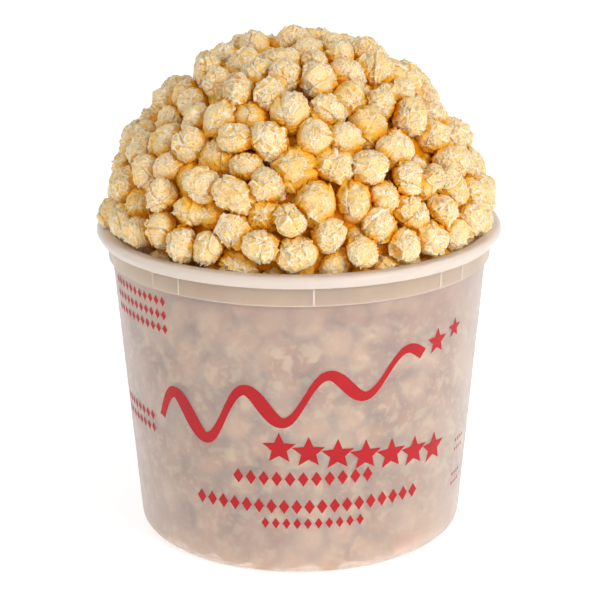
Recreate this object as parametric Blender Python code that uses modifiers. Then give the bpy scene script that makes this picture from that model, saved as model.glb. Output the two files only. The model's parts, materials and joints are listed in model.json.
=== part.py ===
"""A round translucent plastic bucket, filled and heaped with ball-shaped popcorn.

Metres, +Z up. The origin is the centre of the bucket's underside, and -Y is the front.
The bucket is one moulded piece: floor, tapered wall, turned-over lip, hanging skirt and
the gussets that tie the skirt to the wall. The popcorn is one solid out to its uneven
outline: it fills the bucket to the wall and rises over the lip as a steep dome. The
dome's relief is its outer layer of pieces, which a sphere packing lays out.
"""

import math

import bmesh
import bpy
import numpy as np
from mathutils import Vector

# Bucket, from the diameter over its lip.
LIP_DIAMETER = 0.245
LIP_RADIUS = LIP_DIAMETER / 2
BUCKET_HEIGHT = 0.1905
BASE_RADIUS = 0.0995
WALL_TAPER = 0.0815
WALL_THICKNESS = 0.0012
FLOOR_THICKNESS = 0.0015
BASE_CORNER = 0.006
SEGMENTS = 72

# Lip and skirt, as heights above the table and radii.
LIP_LOW_Z = 0.1835
LIP_WIDEST_Z = 0.1876
LIP_LOW_RADIUS = 0.1203
LIP_LOW_WIDTH = 0.0012
FLANGE_THICKNESS = 0.0013
LIP_INNER_ROUND = 0.0012
SKIRT_LOW_Z = 0.1717
SKIRT_LOW_RADIUS = 0.1158
SKIRT_TAPER = 0.055
SKIRT_THICKNESS = 0.0010

# Gussets between wall and skirt: one alone and a pair in each quarter turn.
QUARTERS = 4
GUSSET_DEGREES = (4.0, 44.0, 54.0)
GUSSET_WIDTH = 0.0010
GUSSET_BITE = 0.0004
GUSSET_RAISE = 0.0006

# Popcorn: the dome's foot, rise and the two powers that set its outline.
TOUCHING_GAP = 0.0004
DOME_FOOT_Z = 0.1922
DOME_RADIUS = 0.1213
DOME_RISE = 0.1138
DOME_SHOULDER = 1.60
DOME_ROUNDNESS = 2.08
DOME_RINGS = 64
DOME_CUTS = 2
DOME_KEEP = 0.17

# The pieces of popcorn, and how they are packed behind the dome's outline.
PIECE_RADIUS = 0.0096
PIECE_SPREAD = 0.0008
PIECE_SMALLEST = 0.0078
PIECE_LARGEST = 0.0113
PIECE_SEED = 36
PACKING_LOW_Z = 0.160
SHELL_DEPTH = 0.034
FILL_SHARE = 0.60
PACKING_STEPS = 120
OUTLINE_WAVE = 0.0030
STAND_PROUD = 0.0038
RELIEF_CENTRE_Z = 0.1900
RELIEF_DEPTH = 0.0085


def clear_scene():
    for obj in list(bpy.data.objects):
        bpy.data.objects.remove(obj)


def collection(name):
    made = bpy.data.collections.new(name)
    bpy.context.scene.collection.children.link(made)
    return made


def principled(name, colour, roughness):
    material = bpy.data.materials.new(name)
    material.use_nodes = True
    shader = material.node_tree.nodes["Principled BSDF"]
    shader.inputs["Base Color"].default_value = (*colour, 1.0)
    shader.inputs["Roughness"].default_value = roughness
    shader.inputs["Metallic"].default_value = 0.0
    return material


def arc(centre, radius, start, end, steps):
    """Points (r, z) on an arc, with its angles in degrees from +r towards +z."""
    points = []
    for step in range(steps + 1):
        angle = math.radians(start + (end - start) * step / steps)
        points.append((centre[0] + radius * math.cos(angle), centre[1] + radius * math.sin(angle)))
    return points


def wall_outer(z):
    return BASE_RADIUS + WALL_TAPER * z


def wall_inner(z):
    return wall_outer(z) - WALL_THICKNESS


def skirt_outer(z):
    return SKIRT_LOW_RADIUS + SKIRT_TAPER * (z - SKIRT_LOW_Z)


def skirt_inner(z):
    return skirt_outer(z) - SKIRT_THICKNESS


def turned(name, profile, into):
    """A closed solid: the profile (r, z), which starts and ends on the axis, turned about Z."""
    mesh = bpy.data.meshes.new(name)
    edges = [(i, i + 1) for i in range(len(profile) - 1)]
    mesh.from_pydata([(r, 0.0, z) for r, z in profile], edges, [])
    obj = bpy.data.objects.new(name, mesh)
    into.objects.link(obj)
    screw = obj.modifiers.new("Turn", "SCREW")
    screw.angle = math.tau
    screw.steps = SEGMENTS
    screw.render_steps = SEGMENTS
    screw.use_merge_vertices = True
    screw.merge_threshold = 0.00005
    screw.use_smooth_shade = True
    return obj


def bucket_profile():
    """Up the inside from the middle of the floor, over the lip, and down the outside."""
    flange_low_z = BUCKET_HEIGHT - FLANGE_THICKNESS
    tilt = math.degrees(math.atan(WALL_TAPER))
    inner_corner = BASE_CORNER - WALL_THICKNESS
    inner_centre = (wall_inner(BASE_CORNER) - inner_corner, FLOOR_THICKNESS + inner_corner)
    outer_centre = (wall_outer(BASE_CORNER) - BASE_CORNER, BASE_CORNER)
    mouth_centre = (wall_inner(BUCKET_HEIGHT) + LIP_INNER_ROUND, BUCKET_HEIGHT - LIP_INNER_ROUND)
    lip_round = BUCKET_HEIGHT - LIP_WIDEST_Z
    points = [(0.0, FLOOR_THICKNESS)]
    points += arc(inner_centre, inner_corner, -90, -tilt, 3)
    points += arc(mouth_centre, LIP_INNER_ROUND, 180, 90, 3)
    points += arc((LIP_RADIUS - lip_round, LIP_WIDEST_Z), lip_round, 90, -10, 5)
    points += [(LIP_LOW_RADIUS, LIP_LOW_Z), (LIP_LOW_RADIUS - LIP_LOW_WIDTH, LIP_LOW_Z)]
    points += [(LIP_LOW_RADIUS - LIP_LOW_WIDTH, flange_low_z), (skirt_outer(flange_low_z), flange_low_z)]
    points += [(skirt_outer(SKIRT_LOW_Z), SKIRT_LOW_Z), (skirt_inner(SKIRT_LOW_Z), SKIRT_LOW_Z)]
    points += [(skirt_inner(flange_low_z), flange_low_z), (wall_outer(flange_low_z), flange_low_z)]
    points += arc(outer_centre, BASE_CORNER, -tilt, -90, 4)
    points += [(0.0, 0.0)]
    return points


def gusset(name, azimuth, into):
    """A thin upright plate between wall and skirt, at an azimuth from the front, in degrees."""
    mesh = bpy.data.meshes.new(name)
    shape = bmesh.new()
    bmesh.ops.create_cube(shape, size=1.0)
    low_z = SKIRT_LOW_Z + GUSSET_RAISE
    high_z = BUCKET_HEIGHT - FLANGE_THICKNESS + GUSSET_BITE
    for vert in shape.verts:
        z = high_z if vert.co.z > 0 else low_z
        radius = skirt_inner(z) + GUSSET_BITE if vert.co.x > 0 else wall_outer(z) - GUSSET_BITE
        vert.co = Vector((radius, vert.co.y * GUSSET_WIDTH, z))
    shape.to_mesh(mesh)
    shape.free()
    obj = bpy.data.objects.new(name, mesh)
    into.objects.link(obj)
    obj.rotation_euler.z = math.radians(azimuth - 90)
    obj.hide_render = True
    obj.display_type = "WIRE"
    return obj


def make_bucket(parts, cutters):
    bucket = turned("bucket", bucket_profile(), parts)
    for quarter in range(QUARTERS):
        for degrees in GUSSET_DEGREES:
            azimuth = degrees + quarter * 360 / QUARTERS
            rib = gusset(f"gusset_{round(azimuth):03d}", azimuth, cutters)
            join = bucket.modifiers.new(rib.name, "BOOLEAN")
            join.operation = "UNION"
            join.solver = "EXACT"
            join.object = rib
    bucket.data.materials.append(principled("frosted_plastic", (0.78, 0.74, 0.70), 0.35))


def dome_radius(share):
    """The dome's radius at a share of its rise."""
    return DOME_RADIUS * (1 - share**DOME_SHOULDER) ** (1 / DOME_ROUNDNESS)


def dome_outline():
    """Points (r, z) down the dome and the mouth of the bucket, with outward normals."""
    shares = np.sin(np.linspace(math.pi / 2, 0, 80)) ** 2
    places = [(dome_radius(share), DOME_FOOT_Z + DOME_RISE * share) for share in shares]
    places += [(wall_inner(BUCKET_HEIGHT), BUCKET_HEIGHT), (wall_inner(0.0), 0.0)]
    points, normals = [], []
    for (r0, z0), (r1, z1) in zip(places, places[1:]):
        length = math.hypot(r1 - r0, z1 - z0)
        count = math.ceil(length / 0.0015)
        for step in range(count):
            share = (step + 0.5) / count
            points.append((r0 + (r1 - r0) * share, z0 + (z1 - z0) * share))
            normals.append(((z0 - z1) / length, (r1 - r0) / length))
    return np.array(points), np.array(normals)


def behind(places, outline):
    """How far each place lies inside the outline, and the way out from it in x, y and z."""
    points, normals = outline
    radius = np.hypot(places[:, 0], places[:, 1])
    away = np.stack([radius, places[:, 2]], 1)[:, None] - points[None]
    nearest = (away**2).sum(2).argmin(1)
    normal = normals[nearest]
    depth = -(away[np.arange(len(places)), nearest] * normal).sum(1)
    turn = places[:, :2] / np.maximum(radius, 1e-6)[:, None]
    return depth, np.column_stack([turn * normal[:, :1], normal[:, 1]])


def wave(places):
    """A slow unevenness over the heap, from about 0 to 1."""
    x, y, z = (places / 0.030).T
    swell = np.sin(1.3 * x + 0.7 * z + 0.4) * np.cos(1.1 * y - 0.6 * z + 1.9)
    return 0.5 + 0.35 * swell + 0.15 * np.sin(2.3 * x - 1.9 * y)


def pack_pieces():
    """Centres and radii of the heap's outer pieces, which push each other apart from random places."""
    rng = np.random.default_rng(PIECE_SEED)
    outline = dome_outline()
    lowest = (-LIP_RADIUS, -LIP_RADIUS, PACKING_LOW_Z)
    highest = (LIP_RADIUS, LIP_RADIUS, DOME_FOOT_Z + DOME_RISE)
    tries = rng.uniform(lowest, highest, (30000, 3))
    depth, _ = behind(tries, outline)
    inside = tries[(depth > 0) & (depth < SHELL_DEPTH)]
    volume = np.prod(np.subtract(highest, lowest)) * len(inside) / len(tries)
    count = round(FILL_SHARE * volume / (4 / 3 * math.pi * PIECE_RADIUS**3))
    centres = inside[:count]
    radii = rng.normal(PIECE_RADIUS, PIECE_SPREAD, count).clip(PIECE_SMALLEST, PIECE_LARGEST)
    proud = rng.uniform(-STAND_PROUD, STAND_PROUD, count)
    for _ in range(PACKING_STEPS):
        apart = centres[:, None] - centres[None]
        distance = np.linalg.norm(apart, axis=2) + np.eye(count)
        overlap = np.clip(radii[:, None] + radii[None] - distance, 0, None)
        np.fill_diagonal(overlap, 0)
        centres = centres + 0.35 * (apart * (overlap / distance)[:, :, None]).sum(1)
        depth, way_out = behind(centres, outline)
        above = np.clip((centres[:, 2] - DOME_FOOT_Z) / 0.02, 0, 1)
        least = radii + above * (proud + OUTLINE_WAVE * wave(centres))
        centres = centres - way_out * np.clip(least - depth, 0, None)[:, None]
        centres = centres + way_out * np.clip(depth - SHELL_DEPTH, 0, None)[:, None]
        centres[:, 2] = centres[:, 2].clip(PACKING_LOW_Z, None)
    return centres, radii


def relief(direction, centres, radii):
    """How far the pieces reach from the relief centre along each direction."""
    offsets = centres - np.array((0.0, 0.0, RELIEF_CENTRE_Z))
    along = direction @ offsets.T
    across2 = (offsets**2).sum(1)[None] - along**2
    inside = np.clip(radii[None] ** 2 - across2, 0, None)
    return np.where(inside > 0, along + np.sqrt(inside), 0).max(1)


def heap_profile():
    """From the crown down to the dome's foot, then down the inside of the bucket's wall."""
    tilt = math.degrees(math.atan(WALL_TAPER))
    inner_corner = BASE_CORNER - WALL_THICKNESS
    low_z = FLOOR_THICKNESS + TOUCHING_GAP
    neck_z = BUCKET_HEIGHT - LIP_INNER_ROUND
    neck_radius = wall_inner(neck_z) - TOUCHING_GAP
    corner_centre = (wall_inner(BASE_CORNER) - inner_corner - TOUCHING_GAP, low_z + inner_corner)
    shares = np.sin(np.linspace(math.pi / 2, 0, DOME_RINGS + 1)) ** 2
    points = [(dome_radius(share), DOME_FOOT_Z + DOME_RISE * share) for share in shares]
    points += [(neck_radius, BUCKET_HEIGHT + TOUCHING_GAP), (neck_radius, neck_z)]
    points += arc(corner_centre, inner_corner, -tilt, -90, 3)
    points += [(0.0, low_z)]
    return points


def make_heap(parts):
    """The smooth heap is turned and cut finer, and each point of the dome moves to the pieces."""
    smooth = turned("popcorn_smooth", heap_profile(), parts)
    graph = bpy.context.evaluated_depsgraph_get()
    shape = bmesh.new()
    shape.from_object(smooth, graph)
    bpy.data.objects.remove(smooth)
    level = [edge for edge in shape.edges if abs(edge.verts[0].co.z - edge.verts[1].co.z) < 1e-6]
    upper = [edge for edge in level if edge.verts[0].co.z > DOME_FOOT_Z + 1e-6]
    bmesh.ops.subdivide_edges(shape, edges=upper, cuts=DOME_CUTS, use_grid_fill=True)
    bmesh.ops.triangulate(shape, faces=shape.faces)
    dome = [vert for vert in shape.verts if vert.co.z > DOME_FOOT_Z + 1e-6]
    places = np.array([vert.co for vert in dome])
    arm = places - np.array((0.0, 0.0, RELIEF_CENTRE_Z))
    reach = np.linalg.norm(arm, axis=1)
    direction = arm / reach[:, None]
    bumped = relief(direction, *pack_pieces()).clip(reach - RELIEF_DEPTH, reach + STAND_PROUD)
    for vert, way, distance in zip(dome, direction, bumped):
        vert.co = way * distance + np.array((0.0, 0.0, RELIEF_CENTRE_Z))
    dome_indices = [vert.index for vert in dome]
    mesh = bpy.data.meshes.new("popcorn")
    shape.to_mesh(mesh)
    shape.free()
    heap = bpy.data.objects.new("popcorn", mesh)
    parts.objects.link(heap)
    heap.vertex_groups.new(name="dome").add(dome_indices, 1.0, "REPLACE")
    thin = heap.modifiers.new("Thin", "DECIMATE")
    thin.ratio = DOME_KEEP
    thin.vertex_group = "dome"
    mesh.materials.append(principled("popped_corn", (0.86, 0.68, 0.38), 0.75))
    mesh.shade_smooth()


def main():
    clear_scene()
    parts = collection("bucket_of_popcorn")
    cutters = collection("helpers")
    make_bucket(parts, cutters)
    make_heap(parts)


main()
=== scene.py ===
"""Looks of a frosted plastic bucket, filled and heaped with ball-shaped popcorn.

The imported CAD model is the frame: metres, +Z up, the origin under the bucket's centre, and
-Y the front. The popcorn solid is replaced by loose pieces over a smaller core. The same
sphere packing that shapes the solid's relief says where the pieces of the dome lie, and a
second packing fills the bucket behind its wall. Each kind of piece is one mesh.
"""

import json
import math
from dataclasses import dataclass

import bmesh
import bpy
import numpy as np
from mathutils import Matrix, Vector

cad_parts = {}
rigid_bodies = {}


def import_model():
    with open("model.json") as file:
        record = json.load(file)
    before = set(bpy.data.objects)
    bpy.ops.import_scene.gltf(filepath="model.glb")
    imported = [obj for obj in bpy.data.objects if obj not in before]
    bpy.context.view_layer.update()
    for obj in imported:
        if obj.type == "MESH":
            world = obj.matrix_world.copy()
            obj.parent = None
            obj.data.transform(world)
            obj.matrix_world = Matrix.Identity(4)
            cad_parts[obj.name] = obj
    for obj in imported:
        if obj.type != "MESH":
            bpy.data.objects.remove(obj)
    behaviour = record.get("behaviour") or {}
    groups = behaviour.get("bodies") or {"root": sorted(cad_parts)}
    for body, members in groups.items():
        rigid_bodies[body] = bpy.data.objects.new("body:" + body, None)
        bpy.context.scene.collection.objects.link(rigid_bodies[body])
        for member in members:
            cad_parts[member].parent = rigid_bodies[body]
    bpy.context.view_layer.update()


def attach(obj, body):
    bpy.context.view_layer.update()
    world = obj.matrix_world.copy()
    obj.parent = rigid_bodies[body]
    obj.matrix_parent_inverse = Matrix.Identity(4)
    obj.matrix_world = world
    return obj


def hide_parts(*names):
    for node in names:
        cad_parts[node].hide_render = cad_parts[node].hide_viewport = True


# Bucket, as the CAD model has it.
BASE_RADIUS = 0.0995
WALL_TAPER = 0.0815
WALL_THICKNESS = 0.0012
FLOOR_THICKNESS = 0.0015
BASE_CORNER = 0.006
BUCKET_HEIGHT = 0.1905
BUCKET_SEGMENTS = 240
LIP_RADIUS = 0.1225
PRINT_LIFT = 0.00012
LIP_LOW_Z = 0.1835
LIP_WIDEST_Z = 0.1876
LIP_LOW_RADIUS = 0.1203
LIP_LOW_WIDTH = 0.0012
FLANGE_THICKNESS = 0.0013
LIP_INNER_ROUND = 0.0012
SKIRT_LOW_Z = 0.1717
HEM_TOP_Z = 0.1723
SKIRT_LOW_RADIUS = 0.1158
SKIRT_TAPER = 0.055
SKIRT_THICKNESS = 0.0010
GUSSET_DEGREES = (4.0, 44.0, 54.0)
GUSSET_WIDTH = 0.0010
GUSSET_BITE = 0.0004
GUSSET_SHOWING = 0.0001
GUSSET_RAISE = 0.0006

# The dome and the packing of its pieces, as the CAD model has them.
DOME_FOOT_Z = 0.1922
DOME_RADIUS = 0.1213
DOME_RISE = 0.1138
DOME_SHOULDER = 1.60
DOME_ROUNDNESS = 2.08
PIECE_RADIUS = 0.0096
PIECE_SPREAD = 0.0008
PIECE_SMALLEST = 0.0078
PIECE_LARGEST = 0.0113
PIECE_SEED = 36
PACKING_LOW_Z = 0.160
SHELL_DEPTH = 0.034
FILL_SHARE = 0.60
PACKING_STEPS = 120
OUTLINE_WAVE = 0.0030
STAND_PROUD = 0.0038

# The pieces behind the bucket's wall, the painted shade on them and on the buried fillers, and the core that they
# hide.
WALL_PIECES_SEED = 5
WALL_PIECES_DEPTH = 0.022
TOUCHING_GAP = 0.0003
PRESSED = 0.88
# Share of the painted shade between pieces that the pieces behind the wall keep.
WALL_PAINTED_SHADE_SHARE = 0.25
FILLER_SCALE = 1.14
# Painted shade added to the buried filler pieces, golden to orange in colour.
FILLER_PAINTED_SHADE = 0.20
CORE_INSET = 0.0172
CORE_WALL_INSET = 0.019
CORE_FOOT_INSET = 0.0075
CORE_LOW_Z = 0.0025
CORE_SEGMENTS = 96

# How finely a piece is made: the triangles kept, by how deep it lies behind the outline.
FINE_BALL = 7
TRIANGLES = {"outer": 2900, "buried": 1100, "behind_wall": 600}
BURIED_FROM = 0.0045
HIDDEN_FROM = 0.0120
SHAPES_SEED = 100
PLACING_SEED = 7

# Camera and light.
CAMERA_DISTANCE = 1.2052
CAMERA_ELEVATION = 17.99
CAMERA_ROLL = -0.257
CAMERA_TARGET = (0.0004, 0.0, 0.1383)
CAMERA_LENS = 117.4
KEY_LIGHT = (40, 26, 1.6, 0.50, 10.4)
WORLD_LEVEL = 0.97
WORLD_TOP = 0.62


@dataclass
class Recipe:
    """One kind of popped piece, on a ball of radius 1. Sizes are shares of that radius, scales are waves a radian."""

    lobes: int = 1
    squash: float = 0.18
    warp: float = 0.17
    plates: int = 9
    step: float = 0.045
    puff: float = 0.07
    rim: float = 0.07
    crease: float = 0.03
    overhang: float = 0.04
    cells: int = 48
    cell_share: float = 0.5
    net: float = 0.10
    folds: float = 0.0
    fold_scale: float = 14.0
    fold_share: float = 0.0
    bubbles: int = 0
    bubble_focus: float = 1.0
    clefts: int = 0
    cleft_depth: float = 0.16
    pits: int = 0
    pit_depth: float = 0.20
    wrinkle: float = 0.04
    hull: float = 0.0


RECIPES = {
    "crackled": Recipe(),
    "crackled_fine": Recipe(plates=14, cells=72, net=0.09),
    "folded": Recipe(plates=8, folds=0.08, fold_share=0.3),
    "striped": Recipe(plates=5, folds=0.10, fold_scale=12.0, fold_share=0.8, squash=0.24, cell_share=-0.2),
    "blistered": Recipe(plates=8, bubbles=26, bubble_focus=1.2),
    "blistered_all_over": Recipe(plates=6, rim=0.04, bubbles=44, bubble_focus=0.3, hull=0.25),
    "cleft": Recipe(plates=9, clefts=1, cleft_depth=0.20),
    "cleft_twice": Recipe(clefts=2, cleft_depth=0.15),
    "two_lobes": Recipe(lobes=2, plates=10),
    "three_lobes": Recipe(lobes=3, plates=10, bubbles=12),
    "pitted": Recipe(pits=1),
    "pitted_twice": Recipe(plates=10, pits=2, pit_depth=0.16, bubbles=10, hull=0.2),
    "many_plates": Recipe(plates=20, step=0.05, rim=0.05, cells=34, puff=0.10),
    "flaps": Recipe(plates=8, step=0.08, overhang=0.09, rim=0.09),
    "big_flaps": Recipe(plates=5, step=0.08, overhang=0.09, folds=0.06, clefts=1, cleft_depth=0.12),
    "rough_lobes": Recipe(lobes=2, plates=14, clefts=1, wrinkle=0.05, hull=0.3),
}


def unit(vectors):
    return vectors / np.linalg.norm(vectors, axis=-1, keepdims=True)


def directions(rng, count):
    return unit(rng.normal(size=(count, 3)))


def smooth(low, high, value):
    share = np.clip((value - low) / (high - low), 0, 1)
    return share * share * (3 - 2 * share)


def noise(rng, places, scale, waves=14):
    """Smooth noise, about -1 to 1: plane waves of one scale in random directions."""
    ways = directions(rng, waves) * scale * rng.uniform(0.7, 1.3, (waves, 1))
    turns = rng.uniform(0, math.tau, waves)
    return np.sin(places @ ways.T + turns).sum(1) / math.sqrt(waves)


def ridges(rng, places, scale):
    return 1 - np.clip(np.abs(noise(rng, places, scale)) * 1.6, 0, 1)


def warped(rng, way, amount, scale):
    return unit(way + amount * np.stack([noise(rng, way, scale) for _ in range(3)], 1))


def angle_between(way, spots):
    return np.arccos(np.clip(way @ spots.T, -1, 1))


def cells_on_ball(rng, way, count):
    """Cells round spread-out seeds: each way's cell, the next nearest, and the angle in from their border."""
    seeds = directions(rng, count)
    for _ in range(10):
        apart = seeds[:, None] - seeds[None]
        distance = np.linalg.norm(apart, axis=2) + np.eye(count)
        seeds = unit(seeds + 0.10 / count * (apart / distance[..., None] ** 3).sum(1))
    angles = angle_between(way, seeds)
    nearest = np.argsort(angles, 1)[:, :2]
    near = np.take_along_axis(angles, nearest, 1)
    return nearest[:, 0], nearest[:, 1], near[:, 1] - near[:, 0], seeds


def lobed(rng, way, lobes):
    """How far out a cluster of balls reaches along each way, with its clefts softened."""
    if lobes == 1:
        return np.ones(len(way))
    axis = directions(rng, 1)
    centres = np.concatenate([axis, -axis]) if lobes == 2 else directions(rng, lobes)
    centres = centres * rng.uniform(0.30, 0.42)
    radii = rng.uniform(0.62, 0.80, lobes)
    along = way @ centres.T
    inside = np.clip(radii**2 - (centres**2).sum(1) + along**2, 0, None)
    reaches = along + np.sqrt(inside)
    return np.log(np.exp(16 * reaches).sum(1)) / 16


def popped(way, seed, recipe):
    """Where each point of the ball goes, and how much of a crease, rim, pit and hull it holds."""
    rng = np.random.default_rng(seed)
    reach = lobed(rng, way, recipe.lobes)
    reach *= 1 + 0.07 * noise(rng, way, 2.0) + 0.04 * noise(rng, way, 4.5)
    reach *= 1 - recipe.squash * (way @ directions(rng, 1)[0]) ** 2
    bent = warped(rng, way, recipe.warp, 3.2)

    cell, other, border, seeds = cells_on_ball(rng, bent, recipe.plates)
    steps = rng.normal(0, recipe.step, recipe.plates)
    strength = smooth(-0.8, 0.3, noise(rng, way, 2.6))
    crease = np.exp(-border / 0.10) * strength
    inner = 1 - np.exp(-border / 0.22)
    rim = np.exp(-(((border - 0.16) / 0.09) ** 2)) * strength
    height = steps[cell] * inner + recipe.puff * inner * (0.4 + 0.6 * strength)
    height += recipe.rim * rim * (steps[cell] >= steps[other])
    height -= recipe.crease * (0.25 * np.exp(-border / 0.10) + 0.75 * crease)
    outward = bent - seeds[cell] * (bent * seeds[cell]).sum(1, keepdims=True)
    outward /= np.linalg.norm(outward, axis=1, keepdims=True) + 1e-6
    push = outward * (rim * (steps[cell] > steps[other]) * recipe.overhang)[:, None]

    small, _, edge, _ = cells_on_ball(rng, warped(rng, way, 0.08, 6.0), recipe.cells)
    netted = smooth(-0.35, 0.35, noise(rng, way, 1.9) + recipe.cell_share)
    net = np.exp(-((edge / 0.105) ** 2))
    height += netted * (recipe.net * (net - 0.35) + rng.normal(0, 0.03, recipe.cells)[small] * (1 - net))
    rim = np.maximum(rim, 0.9 * net * netted)

    if recipe.folds:
        turns = bent @ directions(rng, 1)[0] * recipe.fold_scale + 0.8 * noise(rng, way, 3.0)
        folded = smooth(-0.2, 0.5, noise(rng, way, 1.8) + recipe.fold_share)
        height += recipe.folds * ((1 - np.abs(np.sin(turns))) ** 1.5 - 0.4) * folded

    if recipe.bubbles:
        focus = directions(rng, 1)[0] * recipe.bubble_focus
        spots = unit(focus + rng.normal(size=(recipe.bubbles, 3)))
        radii = rng.uniform(0.10, 0.24, recipe.bubbles)
        height += 0.62 * np.sqrt(np.clip(radii**2 - angle_between(bent, spots) ** 2, 0, None)).max(1)

    for _ in range(recipe.clefts):
        side = bent @ directions(rng, 1)[0] + rng.uniform(-0.25, 0.25) + 0.06 * noise(rng, way, 5.0)
        side = np.abs(side)
        facing = smooth(-0.3, 0.4, way @ directions(rng, 1)[0])
        swell = 0.35 * np.exp(-(((side - 0.16) / 0.09) ** 2))
        height += recipe.cleft_depth * (swell - np.exp(-side / 0.075)) * facing

    pit = np.zeros(len(way))
    for _ in range(recipe.pits):
        size = rng.uniform(0.22, 0.42)
        angle = angle_between(bent, directions(rng, 1))[:, 0] * (1 + 0.12 * noise(rng, way, 4.0))
        hole = smooth(size, size * 0.55, angle)
        height += 0.10 * np.exp(-(((angle - size * 1.15) / (0.25 * size)) ** 2)) - recipe.pit_depth * hole
        pit = np.maximum(pit, hole)

    wrinkled = 0.35 + 0.65 * smooth(-0.4, 0.8, noise(rng, way, 3.0))
    height += recipe.wrinkle * (ridges(rng, bent, 11.0) ** 2 * wrinkled + 0.55 * ridges(rng, bent, 21.0) ** 2)
    height += 0.008 * noise(rng, way, 30.0)

    spot = angle_between(bent, directions(rng, 1))[:, 0] * (1 + 0.25 * noise(rng, way, 5.0))
    hull = smooth(recipe.hull, recipe.hull * 0.6, spot) if recipe.hull else np.zeros(len(way))
    places = way * (reach + height)[:, None] + push
    places /= np.sqrt((places**2).sum(1).mean())
    return places, {"crease": crease, "rim": rim, "pit": pit, "hull": hull}


@dataclass
class Shape:
    """A piece of one kind at one fineness: points, triangles and what each point holds."""

    points: np.ndarray
    faces: np.ndarray
    holds: dict


def numbers(items, name, width, kind=np.float32):
    found = np.empty(len(items) * width, kind)
    items.foreach_get(name, found)
    return found.reshape(-1, width) if width > 1 else found


def thinned(obj, triangles):
    """The object's mesh as it is after a Decimate modifier, as a Shape."""
    thin = obj.modifiers.new("Thin", "DECIMATE")
    thin.ratio = triangles / len(obj.data.polygons)
    graph = bpy.context.evaluated_depsgraph_get()
    mesh = obj.evaluated_get(graph).to_mesh()
    points = numbers(mesh.vertices, "co", 3).astype(float)
    corners = numbers(mesh.loops, "vertex_index", 1, np.int32)
    holds = {name: numbers(mesh.attributes[name].data, "value", 1) for name in ("crease", "rim", "pit", "hull")}
    shape = Shape(points, corners.reshape(-1, 3), holds)
    obj.evaluated_get(graph).to_mesh_clear()
    obj.modifiers.remove(thin)
    return shape


def make_shapes(seed, recipe):
    """One kind of piece at each fineness."""
    ball = bmesh.new()
    bmesh.ops.create_icosphere(ball, subdivisions=FINE_BALL, radius=1.0)
    mesh = bpy.data.meshes.new("ball")
    ball.to_mesh(mesh)
    ball.free()
    way = unit(numbers(mesh.vertices, "co", 3).astype(float))
    places, holds = popped(way, seed, recipe)
    mesh.vertices.foreach_set("co", places.astype(np.float32).ravel())
    for name, values in holds.items():
        mesh.attributes.new(name, "FLOAT", "POINT").data.foreach_set("value", values.astype(np.float32))
    obj = bpy.data.objects.new("ball", mesh)
    bpy.context.scene.collection.objects.link(obj)
    shapes = {fineness: thinned(obj, count) for fineness, count in TRIANGLES.items()}
    bpy.data.objects.remove(obj)
    bpy.data.meshes.remove(mesh)
    return shapes


def wall_inner(z):
    return BASE_RADIUS + WALL_TAPER * z - WALL_THICKNESS


def wall_outer(z):
    return BASE_RADIUS + WALL_TAPER * z


def arc(centre, radius, start, end, steps):
    """Points (r, z) on an arc, with its angles in degrees from +r towards +z."""
    angles = np.radians(np.linspace(start, end, steps + 1))
    return [(centre[0] + radius * math.cos(angle), centre[1] + radius * math.sin(angle)) for angle in angles]


def straight(start, end, steps):
    """Points from start to end, without the two ends."""
    shares = np.linspace(0, 1, steps + 1)[1:-1]
    return [tuple(np.array(start) * (1 - share) + np.array(end) * share) for share in shares]


def skirt_outer(z):
    return SKIRT_LOW_RADIUS + SKIRT_TAPER * (z - SKIRT_LOW_Z)


def skirt_inner(z):
    return skirt_outer(z) - SKIRT_THICKNESS


def bucket_profile():
    """Up the inside from the middle of the floor, over the lip, and down the outside."""
    flange_low_z = BUCKET_HEIGHT - FLANGE_THICKNESS
    tilt = math.degrees(math.atan(WALL_TAPER))
    inner_corner = BASE_CORNER - WALL_THICKNESS
    inner_centre = (wall_inner(BASE_CORNER) - inner_corner, FLOOR_THICKNESS + inner_corner)
    outer_centre = (wall_outer(BASE_CORNER) - BASE_CORNER, BASE_CORNER)
    mouth_centre = (wall_inner(BUCKET_HEIGHT) + LIP_INNER_ROUND, BUCKET_HEIGHT - LIP_INNER_ROUND)
    lip_round = BUCKET_HEIGHT - LIP_WIDEST_Z
    points = [(0.0, FLOOR_THICKNESS)]
    points += arc(inner_centre, inner_corner, -90, -tilt, 6)
    points += arc(mouth_centre, LIP_INNER_ROUND, 180, 90, 6)
    points += arc((LIP_RADIUS - lip_round, LIP_WIDEST_Z), lip_round, 90, -10, 12)
    points += [(LIP_LOW_RADIUS, LIP_LOW_Z), (LIP_LOW_RADIUS - LIP_LOW_WIDTH, LIP_LOW_Z)]
    points += [(LIP_LOW_RADIUS - LIP_LOW_WIDTH, flange_low_z), (skirt_outer(flange_low_z), flange_low_z)]
    points += [(skirt_outer(HEM_TOP_Z), HEM_TOP_Z)]
    points += [(skirt_outer(SKIRT_LOW_Z), SKIRT_LOW_Z), (skirt_inner(SKIRT_LOW_Z), SKIRT_LOW_Z)]
    points += [(skirt_inner(flange_low_z), flange_low_z), (wall_outer(flange_low_z), flange_low_z)]
    points += arc(outer_centre, BASE_CORNER, -tilt, -90, 8)
    points += [(0.0, 0.0)]
    return points


def linked(name, mesh):
    obj = bpy.data.objects.new(name, mesh)
    bpy.context.scene.collection.objects.link(obj)
    return obj


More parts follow.
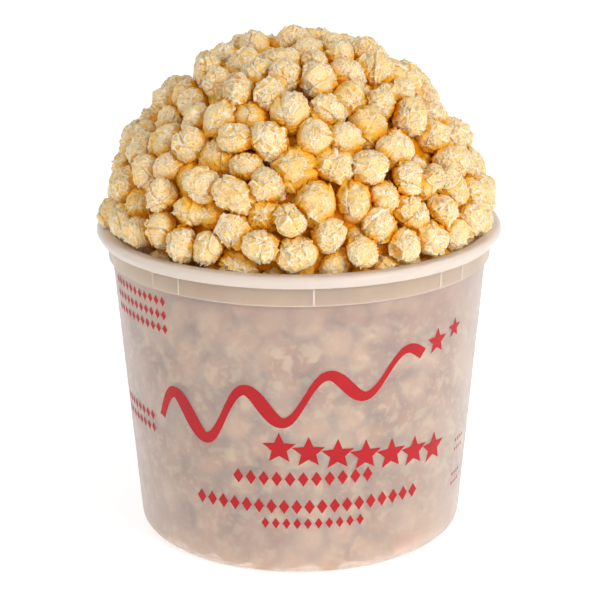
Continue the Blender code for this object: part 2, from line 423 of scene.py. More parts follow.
def turned(name, profile, segments):
    """A closed mesh: the profile (r, z), which starts and ends on the axis, turned about Z."""
    turns = np.linspace(0, math.tau, segments, endpoint=False)
    rings = profile[1:-1]
    places = [(r * math.cos(turn), r * math.sin(turn), z) for r, z in rings for turn in turns]
    top, bottom = len(places), len(places) + 1
    places += [(0.0, 0.0, profile[0][1]), (0.0, 0.0, profile[-1][1])]
    last = (len(rings) - 1) * segments
    faces = []
    for turn in range(segments):
        after = (turn + 1) % segments
        faces.append((top, turn, after))
        faces.append((bottom, last + after, last + turn))
        for here in range(0, last, segments):
            below = here + segments
            faces.append((here + turn, below + turn, below + after, here + after))
    mesh = bpy.data.meshes.new(name)
    mesh.from_pydata(places, [], faces)
    return linked(name, mesh)


def gussets():
    """The thin upright plates between wall and skirt, as one mesh."""
    shape = bmesh.new()
    low_z = SKIRT_LOW_Z + GUSSET_RAISE
    high_z = BUCKET_HEIGHT - FLANGE_THICKNESS + GUSSET_BITE
    for quarter in range(4):
        for degrees in GUSSET_DEGREES:
            turn = Matrix.Rotation(math.radians(degrees + quarter * 90 - 90), 3, "Z")
            for vert in bmesh.ops.create_cube(shape, size=1.0)["verts"]:
                z = high_z if vert.co.z > 0 else low_z
                radius = skirt_outer(z) + GUSSET_SHOWING if vert.co.x > 0 else wall_outer(z) - GUSSET_BITE
                vert.co = turn @ Vector((radius, vert.co.y * GUSSET_WIDTH, z))
    mesh = bpy.data.meshes.new("gussets")
    shape.to_mesh(mesh)
    shape.free()
    return linked("gussets", mesh)


def make_bucket(material):
    bucket = turned("bucket_fine", bucket_profile(), BUCKET_SEGMENTS)
    ribs = gussets()
    join = bucket.modifiers.new("Join", "BOOLEAN")
    join.operation = "UNION"
    join.solver = "EXACT"
    join.object = ribs
    graph = bpy.context.evaluated_depsgraph_get()
    mesh = bpy.data.meshes.new_from_object(bucket.evaluated_get(graph))
    bpy.data.objects.remove(ribs)
    bucket.modifiers.clear()
    bucket.data = mesh
    mesh.materials.clear()
    mesh.materials.append(material)
    mesh.shade_smooth()
    mesh.set_sharp_from_angle(angle=math.radians(35))
    for name, found in (("milky", milky), ("skirt", on_skirt)):
        values = [float(found(face)) for face in mesh.polygons]
        mesh.attributes.new(name, "FLOAT", "FACE").data.foreach_set("value", values)
    return bucket


def milky(face):
    """How much less a face of the bucket lets through: the lip, the gussets, and the skirt's lower edge."""
    z = face.center.z
    radius = math.hypot(face.center.x, face.center.y)
    across = abs(face.normal.x * face.center.x + face.normal.y * face.center.y) / max(radius, 1e-6)
    upright = abs(face.normal.z) < 0.3 and radius > 0.1
    showing = SKIRT_LOW_Z < z < LIP_LOW_Z and radius > skirt_outer(z) + GUSSET_SHOWING / 2
    if upright and (across < 0.3 or showing):
        return 0.6
    if SKIRT_LOW_Z - 0.0001 < z < HEM_TOP_Z and radius > wall_outer(z) + 0.0005:
        return 0.3
    return 0.5 if z > LIP_LOW_Z - 0.0001 and radius > wall_inner(z) + 0.0002 else 0.0


def on_skirt(face):
    """Whether a face is one of the skirt's, above its lower edge."""
    z = face.center.z
    return HEM_TOP_Z < z < LIP_LOW_Z and math.hypot(face.center.x, face.center.y) > wall_outer(z) + 0.0005


def dome_radius(share):
    return DOME_RADIUS * (1 - share**DOME_SHOULDER) ** (1 / DOME_ROUNDNESS)


def dome_outline():
    """Points (r, z) down the dome and the mouth of the bucket, with outward normals."""
    shares = np.sin(np.linspace(math.pi / 2, 0, 80)) ** 2
    places = [(dome_radius(share), DOME_FOOT_Z + DOME_RISE * share) for share in shares]
    places += [(wall_inner(BUCKET_HEIGHT), BUCKET_HEIGHT), (wall_inner(0.0), 0.0)]
    points, normals = [], []
    for (r0, z0), (r1, z1) in zip(places, places[1:]):
        length = math.hypot(r1 - r0, z1 - z0)
        count = math.ceil(length / 0.0015)
        for step in range(count):
            share = (step + 0.5) / count
            points.append((r0 + (r1 - r0) * share, z0 + (z1 - z0) * share))
            normals.append(((z0 - z1) / length, (r1 - r0) / length))
    return np.array(points), np.array(normals)


def behind(places, outline):
    """How far each place lies inside the outline, and the way out from it in x, y and z."""
    points, normals = outline
    radius = np.hypot(places[:, 0], places[:, 1])
    away = np.stack([radius, places[:, 2]], 1)[:, None] - points[None]
    nearest = (away**2).sum(2).argmin(1)
    normal = normals[nearest]
    depth = -(away[np.arange(len(places)), nearest] * normal).sum(1)
    turn = places[:, :2] / np.maximum(radius, 1e-6)[:, None]
    return depth, np.column_stack([turn * normal[:, :1], normal[:, 1]])


def wave(places):
    """A slow unevenness over the heap, from about 0 to 1."""
    x, y, z = (places / 0.030).T
    swell = np.sin(1.3 * x + 0.7 * z + 0.4) * np.cos(1.1 * y - 0.6 * z + 1.9)
    return 0.5 + 0.35 * swell + 0.15 * np.sin(2.3 * x - 1.9 * y)


def pushed_apart(centres, radii, others, other_radii):
    """Centres moved a share of the way out of the balls that they overlap."""
    apart = centres[:, None] - others[None]
    distance = np.linalg.norm(apart, axis=2)
    distance[distance == 0] = 1
    overlap = np.clip(radii[:, None] + other_radii[None] - distance, 0, None)
    overlap[np.linalg.norm(apart, axis=2) == 0] = 0
    return centres + 0.35 * (apart * (overlap / distance)[:, :, None]).sum(1)


def random_radii(rng, count):
    return rng.normal(PIECE_RADIUS, PIECE_SPREAD, count).clip(PIECE_SMALLEST, PIECE_LARGEST)


def filling_count(volume):
    return round(FILL_SHARE * volume / (4 / 3 * math.pi * PIECE_RADIUS**3))


def pack_dome():
    """Centres and radii of the dome's pieces, as the CAD model packs them."""
    rng = np.random.default_rng(PIECE_SEED)
    outline = dome_outline()
    lowest = (-LIP_RADIUS, -LIP_RADIUS, PACKING_LOW_Z)
    highest = (LIP_RADIUS, LIP_RADIUS, DOME_FOOT_Z + DOME_RISE)
    tries = rng.uniform(lowest, highest, (30000, 3))
    depth, _ = behind(tries, outline)
    inside = tries[(depth > 0) & (depth < SHELL_DEPTH)]
    count = filling_count(np.prod(np.subtract(highest, lowest)) * len(inside) / len(tries))
    centres = inside[:count]
    radii = random_radii(rng, count)
    proud = rng.uniform(-STAND_PROUD, STAND_PROUD, count)
    for _ in range(PACKING_STEPS):
        centres = pushed_apart(centres, radii, centres, radii)
        depth, way_out = behind(centres, outline)
        above = np.clip((centres[:, 2] - DOME_FOOT_Z) / 0.02, 0, 1)
        least = radii + above * (proud + OUTLINE_WAVE * wave(centres))
        centres = centres - way_out * np.clip(least - depth, 0, None)[:, None]
        centres = centres + way_out * np.clip(depth - SHELL_DEPTH, 0, None)[:, None]
        centres[:, 2] = centres[:, 2].clip(PACKING_LOW_Z, None)
    depth, _ = behind(centres, outline)
    return centres, radii, depth - radii


def pack_wall(dome_centres, dome_radii):
    """Centres and radii of the pieces along the bucket's wall and floor, under the dome's."""
    rng = np.random.default_rng(WALL_PIECES_SEED)
    top = PACKING_LOW_Z
    tries = rng.uniform((-LIP_RADIUS, -LIP_RADIUS, 0), (LIP_RADIUS, LIP_RADIUS, top), (30000, 3))
    inward = wall_inner(tries[:, 2]) - np.hypot(tries[:, 0], tries[:, 1])
    depth = np.minimum(inward, tries[:, 2] - FLOOR_THICKNESS)
    inside = tries[(depth > 0) & (depth < WALL_PIECES_DEPTH)]
    count = filling_count(4 * LIP_RADIUS**2 * top * len(inside) / len(tries))
    centres = inside[:count]
    radii = random_radii(rng, count)
    for _ in range(PACKING_STEPS):
        centres = pushed_apart(centres, radii, centres, radii)
        centres = pushed_apart(centres, radii, dome_centres, dome_radii)
        centres[:, 2] = centres[:, 2].clip(FLOOR_THICKNESS + PRESSED * radii, PACKING_LOW_Z)
        radius = np.hypot(centres[:, 0], centres[:, 1])
        furthest = wall_inner(centres[:, 2]) - PRESSED * radii
        nearest = np.where(centres[:, 2] > WALL_PIECES_DEPTH, wall_inner(centres[:, 2]) - WALL_PIECES_DEPTH, 0)
        centres[:, :2] *= (np.clip(radius, nearest, furthest) / radius)[:, None]
    return centres, radii


def kept_in(places):
    """Places moved in from the bucket's wall, floor and lip, against which the pieces press flat."""
    radius = np.hypot(places[:, 0], places[:, 1])
    z = places[:, 2].clip(FLOOR_THICKNESS + TOUCHING_GAP, None)
    furthest = wall_inner(z) - TOUCHING_GAP
    over_lip = (radius > furthest) & (z > BUCKET_HEIGHT - 0.005)
    z = np.where(over_lip, z.clip(BUCKET_HEIGHT + TOUCHING_GAP, None), z)
    held = np.where(over_lip | (z > BUCKET_HEIGHT), radius, np.minimum(radius, furthest))
    return np.column_stack([places[:, :2] * (held / radius)[:, None], z])


def shut_in(places, facing, own, centres, radii):
    """How far the balls round one piece close it in, from 0 to 1, at each of its points: how much painted shade it
    gets there.
    """
    near = np.linalg.norm(centres - centres[own], axis=1) < 2.6 * PIECE_RADIUS
    near[own] = False
    to = centres[near][None] - places[:, None]
    distance = np.maximum(np.linalg.norm(to, axis=2), 1e-6)
    towards = np.clip((to * facing[:, None]).sum(2) / distance, 0, None)
    return np.clip((towards * (radii[near] / distance).clip(0, 1) ** 2).sum(1), 0, 1)


def random_turn(rng):
    w, x, y, z = unit(rng.normal(size=4))
    return np.array(
        (
            (1 - 2 * (y * y + z * z), 2 * (x * y - z * w), 2 * (x * z + y * w)),
            (2 * (x * y + z * w), 1 - 2 * (x * x + z * z), 2 * (y * z - x * w)),
            (2 * (x * z - y * w), 2 * (y * z + x * w), 1 - 2 * (x * x + y * y)),
        )
    )


def joined(name, shapes, placings):
    """One mesh of copies of a kind: each placing is a fineness, points, how much painted shade they get from their
    neighbours, and a tint.
    """
    points = np.concatenate([placing[1] for placing in placings])
    starts = np.cumsum([0] + [len(placing[1]) for placing in placings])
    faces = np.concatenate([shapes[p[0]].faces + start for p, start in zip(placings, starts)])
    holds = {key: np.concatenate([shapes[p[0]].holds[key] for p in placings]) for key in shapes["outer"].holds}
    holds["painted_shade"] = np.concatenate([placing[2] for placing in placings])
    holds["tint"] = np.concatenate([np.full(len(p[1]), p[3]) for p in placings])
    mesh = bpy.data.meshes.new(name)
    mesh.vertices.add(len(points))
    mesh.vertices.foreach_set("co", points.astype(np.float32).ravel())
    mesh.loops.add(faces.size)
    mesh.loops.foreach_set("vertex_index", faces.astype(np.int32).ravel())
    mesh.polygons.add(len(faces))
    mesh.polygons.foreach_set("loop_start", np.arange(0, faces.size, 3, dtype=np.int32))
    mesh.update(calc_edges=True)
    for key, values in holds.items():
        mesh.attributes.new(key, "FLOAT", "POINT").data.foreach_set("value", values.astype(np.float32))
    mesh.shade_smooth()
    obj = bpy.data.objects.new(name, mesh)
    bpy.context.scene.collection.objects.link(obj)
    return obj


def make_popcorn(material):
    dome_centres, dome_radii, burial = pack_dome()
    wall_centres, wall_radii = pack_wall(dome_centres, dome_radii)
    centres = np.concatenate([dome_centres, wall_centres])
    radii = np.concatenate([dome_radii, wall_radii])
    burial = np.concatenate([burial, np.full(len(wall_radii), HIDDEN_FROM)])
    rng = np.random.default_rng(PLACING_SEED)
    kinds = rng.integers(0, len(RECIPES), len(centres))
    made = []
    for index, (name, recipe) in enumerate(RECIPES.items()):
        shapes = make_shapes(SHAPES_SEED + index, recipe)
        placings = []
        for own in np.flatnonzero(kinds == index):
            fineness = "outer" if burial[own] < BURIED_FROM else "buried"
            if own >= len(dome_radii) or burial[own] >= HIDDEN_FROM or centres[own, 2] < 0.18:
                fineness = "behind_wall"
            turned = shapes[fineness].points @ random_turn(rng).T
            filler = BURIED_FROM <= burial[own] < HIDDEN_FROM
            scale = FILLER_SCALE if filler else 1.03
            places = kept_in(centres[own] + radii[own] * scale * turned)
            # Painted shade: each point is made golden to orange by how far the neighbouring balls close it in.
            painted_shade_amount = shut_in(places, unit(turned), own, centres, radii)
            # Buried filler pieces get more painted shade.
            if filler:
                painted_shade_amount = np.minimum(painted_shade_amount + FILLER_PAINTED_SHADE, 0.85)
            # Pieces behind the wall keep only a share of their painted shade.
            if own >= len(dome_radii):
                painted_shade_amount *= WALL_PAINTED_SHADE_SHARE
            placings.append((fineness, places, painted_shade_amount, rng.uniform()))
        piece = joined("popcorn_" + name, shapes, placings)
        piece.data.materials.append(material)
        made.append(piece)
    return made


def make_core(material):
    """The middle of the heap, behind the loose pieces, painted in full shade: a dark orange stand-in for the hidden
    pieces and the shade among them.
    """
    rng = np.random.default_rng(3)
    shares = np.sin(np.linspace(math.pi / 2, 0.12, 26)) ** 2
    scale = 1 - CORE_INSET / DOME_RADIUS
    profile = [(dome_radius(share) * scale, DOME_FOOT_Z + DOME_RISE * share * scale - 0.004) for share in shares]
    profile += [(wall_inner(z) - CORE_WALL_INSET, z) for z in np.linspace(0.185, 0.030, 22)]
    profile += [(wall_inner(z) - CORE_FOOT_INSET, z) for z in (0.016, 0.010, 0.005, CORE_LOW_Z)]
    profile += [(r, CORE_LOW_Z) for r in np.linspace(wall_inner(0.0) - CORE_FOOT_INSET, 0.0, 10)[1:]]
    turns = np.linspace(0, math.tau, CORE_SEGMENTS, endpoint=False)
    rings = np.array([[(r * math.cos(t), r * math.sin(t), z) for t in turns] for r, z in profile])
    places = rings.reshape(-1, 3)
    swell = 0.0012 * noise(rng, places, 420.0, 24)
    places[:, :2] *= (1 + swell / np.maximum(np.hypot(places[:, 0], places[:, 1]), 0.01))[:, None]
    faces = []
    for ring in range(len(profile) - 1):
        for turn in range(CORE_SEGMENTS):
            after = (turn + 1) % CORE_SEGMENTS
            here, below = ring * CORE_SEGMENTS, (ring + 1) * CORE_SEGMENTS
            faces.append((here + turn, below + turn, below + after, here + after))
    mesh = bpy.data.meshes.new("popcorn_core")
    mesh.from_pydata(places.tolist(), [], faces)
    mesh.shade_smooth()
    for key in ("crease", "rim", "pit", "hull", "tint"):
        mesh.attributes.new(key, "FLOAT", "POINT")
    # The core takes the fullest painted shade all over.
    mesh.attributes.new("painted_shade", "FLOAT", "POINT").data.foreach_set("value", np.ones(len(places), np.float32))
    obj = bpy.data.objects.new("popcorn_core", mesh)
    bpy.context.scene.collection.objects.link(obj)
    obj.data.materials.append(material)
    return obj


class Nodes:
    """A material's node tree, with a short call for each kind of node used here."""

    def __init__(self, name):
        self.material = bpy.data.materials.new(name)
        self.material.use_nodes = True
        self.tree = self.material.node_tree
        self.shader = self.tree.nodes["Principled BSDF"]

    def add(self, kind, **settings):
        node = self.tree.nodes.new("ShaderNode" + kind)
        for key, value in settings.items():
            setattr(node, key, value)
        return node

    def put(self, socket, value):
        if isinstance(value, bpy.types.NodeSocket):
            self.tree.links.new(value, socket)
        elif isinstance(value, tuple) and len(value) == 3 and socket.type == "RGBA":
            socket.default_value = (*value, 1.0)
        else:
            socket.default_value = value

    def math(self, operation, first, second=0.0):
        node = self.add("Math", operation=operation)
        self.put(node.inputs[0], first)
        self.put(node.inputs[1], second)
        return node.outputs[0]

    def ramp(self, value, low, high, to_low=0.0, to_high=1.0):
        node = self.add("MapRange", interpolation_type="SMOOTHSTEP")
        for socket, number in zip(node.inputs[:5], (value, low, high, to_low, to_high)):
            self.put(socket, number)
        return node.outputs[0]

    def mix(self, share, first, second):
        node = self.add("Mix", data_type="RGBA")
        self.put(node.inputs["Factor"], share)
        self.put(node.inputs["A"], first)
        self.put(node.inputs["B"], second)
        return node.outputs["Result"]

    def noise(self, where, scale, detail=1.0, output="Fac"):
        node = self.add("TexNoise")
        self.put(node.inputs["Vector"], where)
        self.put(node.inputs["Scale"], scale)
        self.put(node.inputs["Detail"], detail)
        return node.outputs[output]

    def voronoi(self, where, scale, feature):
        node = self.add("TexVoronoi", feature=feature)
        self.put(node.inputs["Vector"], where)
        self.put(node.inputs["Scale"], scale)
        return node.outputs["Distance"]

    def held(self, name):
        return self.add("Attribute", attribute_name=name).outputs["Fac"]

    def places(self):
        return self.add("TexCoord").outputs["Object"]

    def shifted(self, where, scale, amount):
        """Places moved about by noise, to bend straight lines."""
        spread = self.add("VectorMath", operation="SCALE")
        self.put(spread.inputs[0], self.noise(where, scale, output="Color"))
        self.put(spread.inputs["Scale"], amount)
        moved = self.add("VectorMath", operation="ADD")
        self.put(moved.inputs[0], where)
        self.put(moved.inputs[1], spread.outputs[0])
        return moved.outputs[0]

    def bump(self, height, distance, strength=1.0):
        node = self.add("Bump")
        self.put(node.inputs["Height"], height)
        self.put(node.inputs["Distance"], distance)
        self.put(node.inputs["Strength"], strength)
        self.put(self.shader.inputs["Normal"], node.outputs["Normal"])


def popcorn_material():
    nodes = Nodes("popcorn_looks")
    where = nodes.places()
    bent = nodes.shifted(where, 210.0, 0.0026)
    tint = nodes.held("tint")
    netted = nodes.ramp(nodes.noise(where, 150.0), 0.40, 0.56)
    edge = nodes.voronoi(bent, 310.0, "DISTANCE_TO_EDGE")
    net = nodes.math("MULTIPLY", nodes.ramp(edge, 0.17, 0.05), netted)
    net_side_shade = nodes.math("MULTIPLY", nodes.ramp(edge, 0.36, 0.18), netted)
    porous = nodes.math("ADD", nodes.noise(where, 210.0, 2.0), nodes.math("MULTIPLY", tint, 0.12))
    porous = nodes.ramp(porous, 0.50, 0.66)
    pore = nodes.math("MULTIPLY", nodes.ramp(nodes.voronoi(bent, 520.0, "F1"), 0.34, 0.20), porous)
    fine = nodes.noise(bent, 600.0, 1.0)
    slow = nodes.math("ADD", nodes.noise(where, 80.0), nodes.math("MULTIPLY", tint, 0.2))
    ridge = nodes.held("rim")
    painted_shade = nodes.held("painted_shade")

    colour = nodes.mix(nodes.ramp(slow, 0.40, 0.80), (0.94, 0.74, 0.45), (0.93, 0.66, 0.29))
    # Painted shade: golden bands along the sides of the net's ridges and round the plates' rims, for the warm shading
    # next to the relief.
    painted_side_shade = nodes.math("MAXIMUM", nodes.math("MULTIPLY", net_side_shade, 0.5), nodes.ramp(ridge, 0.05, 0.40))
    colour = nodes.mix(nodes.math("MULTIPLY", painted_side_shade, 0.6), colour, (0.93, 0.55, 0.12))
    colour = nodes.mix(nodes.ramp(fine, 0.50, 0.66, 0.0, 0.4), colour, (0.93, 0.54, 0.11))
    # Painted shade: warm orange in the creases between plates.
    colour = nodes.mix(nodes.math("MULTIPLY", nodes.held("crease"), 0.8), colour, (0.95, 0.47, 0.03))
    colour = nodes.mix(nodes.math("MULTIPLY", pore, 0.7), colour, (0.95, 0.42, 0.02))
    # The ridges' own lighter colour, with a painted highlight along their tops.
    ridge_tone_and_highlight = nodes.math("MAXIMUM", net, nodes.ramp(ridge, 0.50, 0.85))
    colour = nodes.mix(nodes.math("MULTIPLY", ridge_tone_and_highlight, 0.9), colour, (0.98, 0.83, 0.62))
    colour = nodes.mix(nodes.math("MULTIPLY", nodes.held("pit"), 0.8), colour, (0.93, 0.45, 0.03))
    # Painted shade between pieces: golden, then orange, then deep orange the more a point is closed in, for shade and
    # light bounced among the pieces. The hull mix among them is the hull's own colour.
    colour = nodes.mix(nodes.ramp(painted_shade, 0.10, 0.42, 0.0, 0.9), colour, (0.94, 0.48, 0.03))
    colour = nodes.mix(nodes.math("MULTIPLY", nodes.held("hull"), 0.7), colour, (0.58, 0.24, 0.05))
    colour = nodes.mix(nodes.ramp(painted_shade, 0.38, 0.85), colour, (0.96, 0.35, 0.0))
    colour = nodes.mix(nodes.ramp(painted_shade, 0.90, 1.00), colour, (0.78, 0.27, 0.0))
    nodes.put(nodes.shader.inputs["Base Color"], colour)
    nodes.put(nodes.shader.inputs["Roughness"], nodes.ramp(fine, 0.3, 0.7, 0.30, 0.55))
    # Less specular in the painted shade, so those gaps keep their saturated colour.
    nodes.put(nodes.shader.inputs["Specular IOR Level"], nodes.ramp(painted_shade, 0.05, 0.40, 0.42, 0.08))
    nodes.shader.inputs["Subsurface Weight"].default_value = 0.6
    nodes.shader.inputs["Subsurface Radius"].default_value = (1.0, 0.7, 0.35)
    nodes.shader.inputs["Subsurface Scale"].default_value = 0.0018
    height = nodes.math("ADD", nodes.math("MULTIPLY", net, 0.9), fine)
    height = nodes.math("ADD", height, nodes.math("MULTIPLY", nodes.noise(where, 1200.0, 1.0), 0.25))
    nodes.bump(nodes.math("SUBTRACT", height, nodes.math("MULTIPLY", pore, 0.9)), 0.0007)
    return nodes.material


def plastic_material():
    nodes = Nodes("plastic_looks")
    where = nodes.places()
    milky = nodes.held("milky")
    cloudy = nodes.ramp(nodes.noise(where, 34.0, 2.0), 0.32, 0.68)
    # Painted light: whitish spots on the plastic, more of them low on the wall, stand in for lit pieces pressed
    # against the wall behind it.
    spots = nodes.ramp(nodes.noise(where, 150.0, 1.0), 0.52, 0.66)
    small = nodes.ramp(nodes.noise(where, 310.0, 1.0), 0.54, 0.68)
    spots = nodes.math("MAXIMUM", spots, nodes.math("MULTIPLY", small, 0.8))
    colour = nodes.mix(cloudy, (0.79, 0.65, 0.60), (0.92, 0.79, 0.71))
    height = nodes.add("SeparateXYZ")
    nodes.put(height.inputs[0], where)
    spots = nodes.math("MULTIPLY", spots, nodes.ramp(height.outputs["Z"], 0.17, 0.14, 0.2, 0.8))
    colour = nodes.mix(spots, colour, (1.0, 0.90, 0.78))
    colour = nodes.mix(nodes.ramp(height.outputs["Z"], 0.07, 0.00, 0.0, 0.5), colour, (1.0, 0.88, 0.80))
    colour = nodes.mix(nodes.math("MULTIPLY", nodes.held("skirt"), 0.7), colour, (1.0, 0.85, 0.66))
    colour = nodes.mix(nodes.ramp(milky, 0.0, 0.6), colour, (0.95, 0.85, 0.76))
    nodes.put(nodes.shader.inputs["Base Color"], colour)
    nodes.put(nodes.shader.inputs["Roughness"], nodes.ramp(nodes.noise(where, 90.0, 2.0), 0.3, 0.7, 0.29, 0.35))
    nodes.shader.inputs["IOR"].default_value = 1.38
    clear = nodes.math("SUBTRACT", 0.74, nodes.math("MULTIPLY", milky, 0.60))
    nodes.put(nodes.shader.inputs["Transmission Weight"], clear)
    nodes.bump(nodes.noise(where, 2200.0, 1.0), 0.00002)
    return nodes.material


def print_material():
    nodes = Nodes("print_looks")
    where = nodes.places()
    blotchy = nodes.noise(where, 70.0, 3.0)
    nodes.put(nodes.shader.inputs["Base Color"], nodes.mix(blotchy, (0.37, 0.006, 0.009), (0.50, 0.012, 0.016)))
    nodes.put(nodes.shader.inputs["Roughness"], nodes.ramp(nodes.noise(where, 300.0, 2.0), 0.3, 0.7, 0.35, 0.50))
    nodes.shader.inputs["Specular IOR Level"].default_value = 0.25
    nodes.bump(nodes.noise(where, 1500.0, 2.0), 0.00002)
    return nodes.material


def on_wall(azimuth, z):
    """The place on the bucket's wall at an azimuth from the front in degrees, and a height."""
    turn = math.radians(azimuth)
    radius = wall_outer(z) + PRINT_LIFT
    return Vector((radius * math.sin(turn), -radius * math.cos(turn), z))


def add_strip(shape, path, width):
    """A band along a path of (azimuth, z) points, with its width there from a function of the share passed."""
    radius = wall_outer(0.1)
    flat = np.array([(math.radians(azimuth) * radius, z) for azimuth, z in path])
    along = np.gradient(flat, axis=0)
    across = np.column_stack([-along[:, 1], along[:, 0]]) / np.linalg.norm(along, axis=1)[:, None]
    rows = []
    for step, (spot, side) in enumerate(zip(flat, across)):
        half = width(step / (len(path) - 1)) / 2
        edge = [spot + side * half * share for share in (-1, -0.5, 0, 0.5, 1)]
        rows.append([shape.verts.new(on_wall(math.degrees(x / radius), z)) for x, z in edge])
    for row, after in zip(rows, rows[1:]):
        for index in range(4):
            shape.faces.new((row[index], row[index + 1], after[index + 1], after[index]))


def add_badge(shape, azimuth, z, outline):
    """A small filled shape on the wall, from its outline round (0, 0) in metres."""
    radius = wall_outer(z)
    middle = shape.verts.new(on_wall(azimuth, z))
    rings = []
    for share in (0.5, 1.0):
        places = [(azimuth + math.degrees(x * share / radius), z + y * share) for x, y in outline]
        rings.append([shape.verts.new(on_wall(*place)) for place in places])
    inner, outer = rings
    for index in range(len(outline)):
        after = (index + 1) % len(outline)
        shape.faces.new((middle, inner[index], inner[after]))
        shape.faces.new((inner[index], outer[index], outer[after], inner[after]))


def star(size):
    """A five-pointed star's outline."""
    turns = [math.radians(90 + 36 * corner) for corner in range(10)]
    reaches = [size if corner % 2 == 0 else size * 0.45 for corner in range(10)]
    return [(reach * math.cos(turn), reach * math.sin(turn)) for reach, turn in zip(reaches, turns)]


def lozenge(width, height):
    return [(width / 2, 0.0), (0.0, height / 2), (-width / 2, 0.0), (0.0, -height / 2)]


def add_row(shape, start, end, count, outlines):
    """Badges in a row between two (azimuth, z) places, taking the outlines in turn."""
    for index in range(count):
        share = index / (count - 1)
        azimuth = start[0] + (end[0] - start[0]) * share
        z = start[1] + (end[1] - start[1]) * share
        add_badge(shape, azimuth, z, outlines[index % len(outlines)])


def wave_path(start, end, humps, height):
    """A path of (azimuth, z) points that rises and falls as it goes from start to end."""
    path = []
    for share in np.linspace(0, 1, 160):
        azimuth = start[0] + (end[0] - start[0]) * share
        z = start[1] + (end[1] - start[1]) * share
        path.append((azimuth, z + height * (1 - 0.5 * share) * math.sin(math.tau * humps * share)))
    return path


def ribbon_width(share):
    """Broad where the wave falls and narrow where it rises, as a flat brush leaves it."""
    return (0.0072 - 0.0022 * share) * (1 - 0.35 * math.cos(math.tau * 3.5 * share))


def make_print(material):
    """Plain red ornaments where the bucket's print is: a wave, a row of stars, and rows of lozenges."""
    shape = bmesh.new()
    add_strip(shape, wave_path((-49, 0.090), (40, 0.133), 3.5, 0.016), ribbon_width)
    add_row(shape, (46, 0.138), (54.5, 0.142), 2, [star(0.0085), star(0.0065)])
    add_row(shape, (-6.5, 0.083), (48.5, 0.069), 7, [star(0.0102)])
    add_row(shape, (-20, 0.0635), (22, 0.0635), 11, [lozenge(0.0062, 0.0095)])
    add_row(shape, (-34, 0.0455), (40, 0.0455), 19, [lozenge(0.0062, 0.0095)])
    add_row(shape, (-11.5, 0.0345), (20, 0.0345), 10, [lozenge(0.0046, 0.0072)])
    for z in (0.164, 0.1555, 0.147):
        add_row(shape, (-72, z), (-44, z), 11, [lozenge(0.0042, 0.0062)])
    for z in (0.087, 0.079):
        add_row(shape, (-76, z), (-55, z), 8, [lozenge(0.0044, 0.0066)])
    for z in (0.064, 0.058, 0.041, 0.035):
        add_row(shape, (64, z), (70, z), 4, [lozenge(0.0020, 0.0030)])
    mesh = bpy.data.meshes.new("print_red")
    shape.normal_update()
    shape.to_mesh(mesh)
    shape.free()
    mesh.shade_smooth()
    mesh.materials.append(material)
    return linked("print_red", mesh)


def make_stage():
    nodes = Nodes("pale_floor")
    nodes.shader.inputs["Base Color"].default_value = (0.85, 0.85, 0.85, 1.0)
    nodes.shader.inputs["Roughness"].default_value = 0.9
    nodes.shader.inputs["Emission Color"].default_value = (1.0, 1.0, 1.0, 1.0)
    nodes.shader.inputs["Emission Strength"].default_value = 0.50
    mesh = bpy.data.meshes.new("floor")
    shape = bmesh.new()
    bmesh.ops.create_circle(shape, cap_ends=True, segments=64, radius=4.0)
    shape.to_mesh(mesh)
    shape.free()
    floor = bpy.data.objects.new("floor", mesh)
    bpy.context.scene.collection.objects.link(floor)
    floor.data.materials.append(nodes.material)


def aimed(obj, place, target):
    obj.location = place
    obj.rotation_euler = (Vector(target) - Vector(place)).to_track_quat("-Z", "Y").to_euler()


def around(azimuth, elevation, distance, target):
    """The place at an azimuth to the right of the front and an elevation, in degrees, from a target."""
    turn, rise = math.radians(azimuth), math.radians(elevation)
    flat = distance * math.cos(rise)
    return Vector(target) + Vector((flat * math.sin(turn), -flat * math.cos(turn), distance * math.sin(rise)))


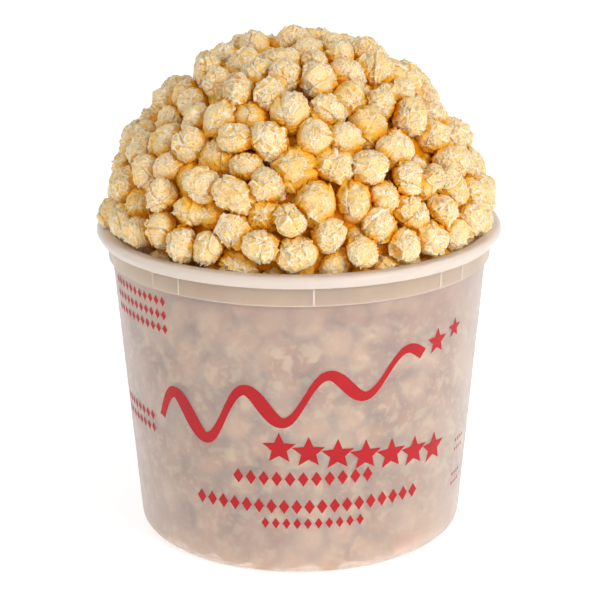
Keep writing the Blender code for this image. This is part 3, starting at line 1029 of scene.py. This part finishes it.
def make_light(name, azimuth, elevation, distance, size, power, colour=(1.0, 1.0, 1.0)):
    light = bpy.data.lights.new(name, "AREA")
    light.shape = "DISK"
    light.size = size
    light.energy = power
    light.color = colour
    obj = bpy.data.objects.new(name, light)
    bpy.context.scene.collection.objects.link(obj)
    target = (0.0, 0.0, 0.17)
    aimed(obj, around(azimuth, elevation, distance, target), target)


def make_world():
    """White all round, and darker overhead."""
    world = bpy.data.worlds.new("studio")
    world.use_nodes = True
    tree = world.node_tree
    ways = tree.nodes.new("ShaderNodeTexCoord")
    parts = tree.nodes.new("ShaderNodeSeparateXYZ")
    dimming = tree.nodes.new("ShaderNodeMapRange")
    tree.links.new(ways.outputs["Generated"], parts.inputs[0])
    tree.links.new(parts.outputs["Z"], dimming.inputs["Value"])
    for name, value in (("From Min", 0.0), ("From Max", 0.9), ("To Min", WORLD_LEVEL), ("To Max", WORLD_TOP)):
        dimming.inputs[name].default_value = value
    background = tree.nodes["Background"]
    background.inputs["Color"].default_value = (1.0, 1.0, 1.0, 1.0)
    tree.links.new(dimming.outputs["Result"], background.inputs["Strength"])
    bpy.context.scene.world = world


def make_camera():
    camera = bpy.data.cameras.new("camera")
    camera.lens = CAMERA_LENS
    obj = bpy.data.objects.new("camera", camera)
    bpy.context.scene.collection.objects.link(obj)
    aimed(obj, around(0, CAMERA_ELEVATION, CAMERA_DISTANCE, CAMERA_TARGET), CAMERA_TARGET)
    obj.rotation_euler.rotate_axis("Z", math.radians(CAMERA_ROLL))
    bpy.context.scene.camera = obj


def main():
    for obj in list(bpy.data.objects):
        bpy.data.objects.remove(obj)
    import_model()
    bucket = make_bucket(plastic_material())
    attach(bucket, "root")
    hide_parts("bucket")
    pattern = make_print(print_material())
    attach(pattern, "root")
    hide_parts("bucket")
    popcorn = popcorn_material()
    for piece in make_popcorn(popcorn) + [make_core(popcorn)]:
        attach(piece, "root")
        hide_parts("popcorn")
    make_stage()
    make_world()
    make_light("key", *KEY_LIGHT)
    make_camera()
    bpy.context.scene.view_settings.view_transform = "Standard"


main()
